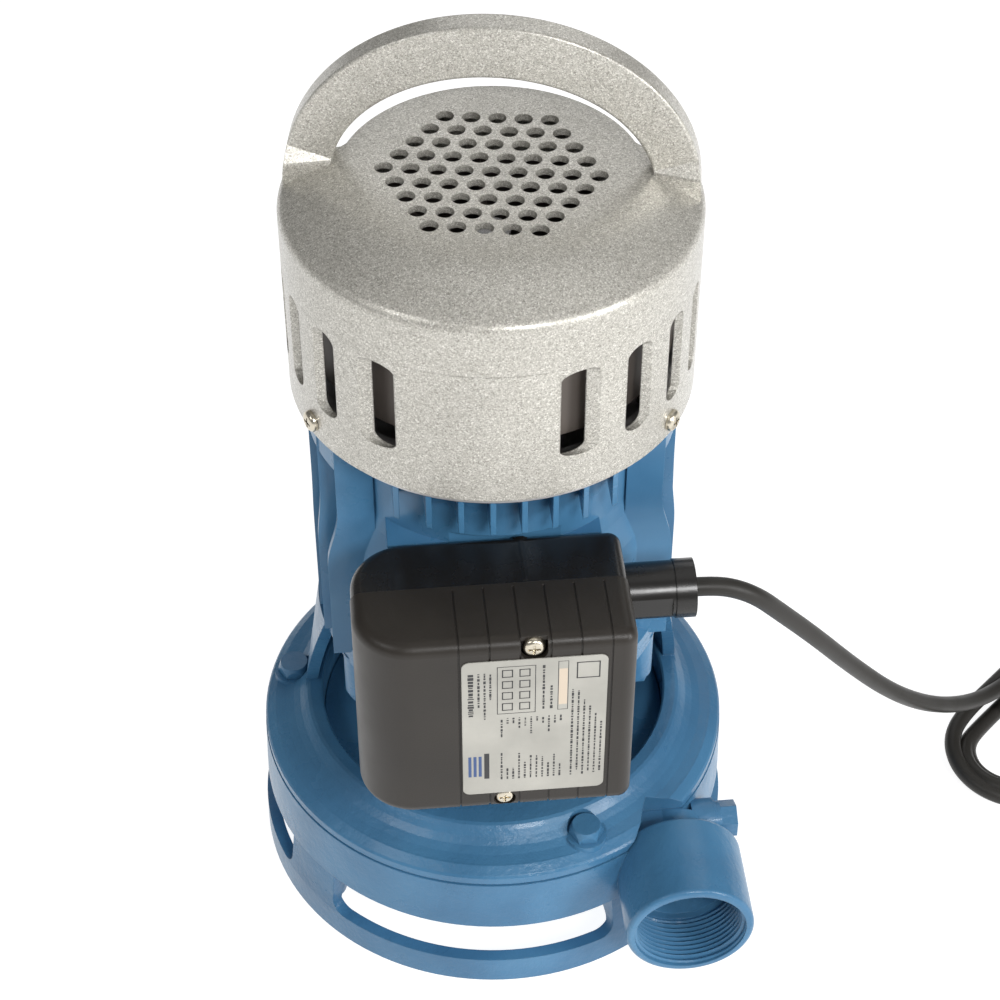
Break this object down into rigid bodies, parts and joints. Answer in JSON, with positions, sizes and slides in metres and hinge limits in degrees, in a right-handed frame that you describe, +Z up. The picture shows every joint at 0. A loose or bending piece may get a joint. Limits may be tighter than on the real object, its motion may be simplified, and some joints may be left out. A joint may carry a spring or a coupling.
{
  "type": "centrifugal water pump",
  "caption": "Vertical centrifugal water pump: volute casing on a foot ring, lantern bracket, finned motor with terminal box, and a fan cover with an arched handle.",
  "frame": {"origin": "where the shaft axis meets the surface the pump stands on", "axes": "+Z up along the shaft, -Y to the front with the terminal box and the outlet, +X to the cable gland's side"},
  "size_m": [0.461, 0.2283, 0.4174],
  "materials": {
    "casting_blue": "gloss enamel",
    "cover_silver": "silver speckle paint",
    "box_black": "satin",
    "gloss_black": "gloss",
    "zinc_steel": "zinc plated",
    "label_sheet": "printed label sheet",
    "cord_pvc": "satin PVC",
    "seal_rubber": "matt",
    "fan_plastic": "matt",
    "bright_steel": "ground",
    "core_steel": "laminated",
    "copper_winding": "varnished",
    "cast_aluminium": "as cast",
    "dark_iron": "black paint",
    "bronze": "machined",
    "seal_carbon": "lapped",
    "terminal_plastic": "matt"
  },
  "bodies": {
    "pump": {"base_ring": "casting_blue", "volute_casing": "casting_blue", "motor_bracket": "casting_blue", "motor_housing": "casting_blue", "bracket_bolts": "casting_blue", "priming_plug": "casting_blue", "motor_screws": "casting_blue", "fan_cover": "cover_silver", "terminal_box_cover": "box_black", "terminal_box_base": "gloss_black", "cable_gland_body": "gloss_black", "cable_gland_nut": "gloss_black", "fan_cover_screws": "zinc_steel", "box_cover_screws": "zinc_steel", "box_mount_screws": "zinc_steel", "shield_screws": "zinc_steel", "terminal_screws": "zinc_steel", "base_ring_screws": "zinc_steel", "capacitor_clip": "zinc_steel", "rating_plate": "label_sheet", "power_cable": "cord_pvc", "cable_hank": "cord_pvc", "plug_lead": "cord_pvc", "mains_plug": "cord_pvc", "hank_tie": "cord_pvc", "casing_gasket": "seal_rubber", "plug_washer": "seal_rubber", "gland_seal": "seal_rubber", "terminal_box_gasket": "seal_rubber", "lower_bearing_outer": "bright_steel", "upper_bearing_outer": "bright_steel", "stator_core": "core_steel", "stator_winding": "copper_winding", "upper_end_shield": "cast_aluminium", "capacitor": "cast_aluminium", "seal_plate": "dark_iron", "plug_pins": "bronze", "seal_seat": "seal_carbon", "terminal_block": "terminal_plastic"},
    "rotor": {"impeller": "bronze", "impeller_nut": "bright_steel", "seal_rotary": "seal_carbon", "seal_spring": "bright_steel", "water_slinger": "seal_rubber", "rotor_core": "core_steel", "rotor_cage": "cast_aluminium", "shaft": "bright_steel", "lower_bearing_inner": "bright_steel", "lower_bearing_balls": "bright_steel", "upper_bearing_inner": "bright_steel", "upper_bearing_balls": "bright_steel", "cooling_fan": "fan_plastic", "fan_clip": "bright_steel"}
  },
  "joints": [
    {"name": "rotor_spin", "type": "hinge", "parent": "pump", "child": "rotor", "pos_m": [0, 0, 0.2], "axis": [0, 0, 1], "continuous": true}
  ]
}
